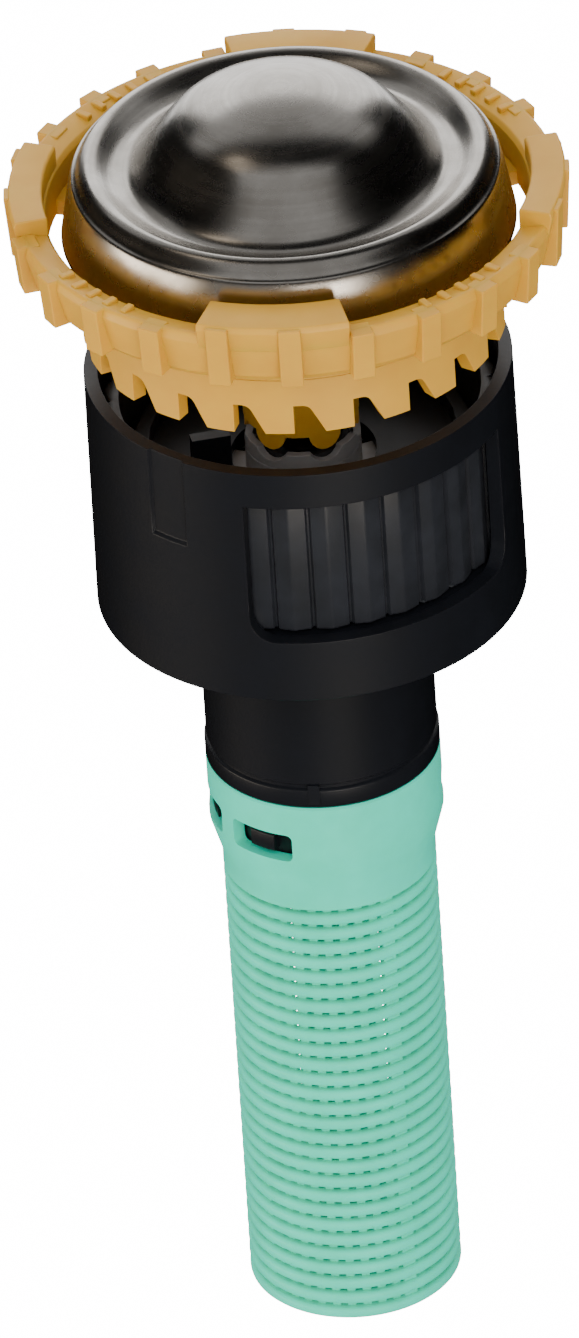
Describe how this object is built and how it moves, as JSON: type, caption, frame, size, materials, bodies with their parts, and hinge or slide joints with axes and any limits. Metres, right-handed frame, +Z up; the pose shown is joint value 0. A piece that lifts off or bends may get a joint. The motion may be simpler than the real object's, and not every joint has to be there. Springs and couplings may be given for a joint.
{
  "type": "rotary sprinkler nozzle",
  "caption": "Rotary pop-up sprinkler nozzle: steel-capped fluted deflector with grip crown, threaded body with thumb windows, and filter screen.",
  "frame": {"origin": "on the axis, in the plane where the riser's top edge seats", "axes": "+Z up along the axis towards the cap, -Y the front"},
  "size_m": [0.0316, 0.0316, 0.0794],
  "materials": {
    "black_plastic": "moulded ABS, satin",
    "grey_plastic": "moulded acetal, satin",
    "tan_plastic": "moulded acetal, satin",
    "teal_plastic": "moulded polypropylene, satin",
    "white_plastic": "moulded acetal, satin",
    "black_rubber": "moulded nitrile, matt",
    "bearing_brass": "turned",
    "cap_steel": "pressed stainless, bright",
    "shaft_steel": "ground stainless"
  },
  "bodies": {
    "housing": {"body_shell": "black_plastic", "riser_gasket": "black_rubber", "inlet_hub": "black_plastic", "nozzle_hub": "black_plastic", "nozzle_cover": "black_plastic", "cover_seal": "black_rubber", "return_spring": "shaft_steel"},
    "radius_adjuster": {"radius_ring": "black_plastic"},
    "throttle": {"throttle_nut": "white_plastic"},
    "arc_valve": {"valve_sleeve": "grey_plastic", "sleeve_seal": "black_rubber"},
    "stem": {"shaft": "shaft_steel", "spring_washer": "white_plastic", "retaining_clip": "shaft_steel", "seal_retainer": "white_plastic", "brake_pad": "black_rubber"},
    "head": {"deflector": "tan_plastic", "steel_cap": "cap_steel", "friction_disk": "white_plastic", "shaft_seal": "black_rubber", "hub_bushing": "bearing_brass"},
    "screen": {"filter_screen": "teal_plastic"}
  },
  "joints": [
    {"name": "stem_lift", "type": "slide", "parent": "housing", "child": "stem", "axis": [0, 0, 1], "range_m": [0, 0.004], "stiffness_N_per_m": 400, "deforming": ["return_spring"]},
    {"name": "head_spin", "type": "hinge", "parent": "stem", "child": "head", "pos_m": [0, 0, 0.0175], "axis": [0, 0, 1], "continuous": true},
    {"name": "arc_turn", "type": "hinge", "parent": "housing", "child": "arc_valve", "pos_m": [0, 0, 0.005], "axis": [0, 0, 1], "range_deg": [0, 225]},
    {"name": "radius_turn", "type": "hinge", "parent": "housing", "child": "radius_adjuster", "pos_m": [0, 0, 0.005], "axis": [0, 0, 1], "range_deg": [-180, 180]},
    {"name": "nut_climb", "type": "slide", "parent": "radius_adjuster", "child": "throttle", "axis": [0, 0, 1], "range_m": [-0.00041, 0.00041]},
    {"name": "screen_twist", "type": "hinge", "parent": "housing", "child": "screen", "pos_m": [0, 0, -0.017], "axis": [0, 0, 1], "range_deg": [-10, 10]}
  ],
  "couplings": [
    {"joint": "nut_climb", "follows": "radius_turn", "m_per_rad": 0.0001273}
  ]
}
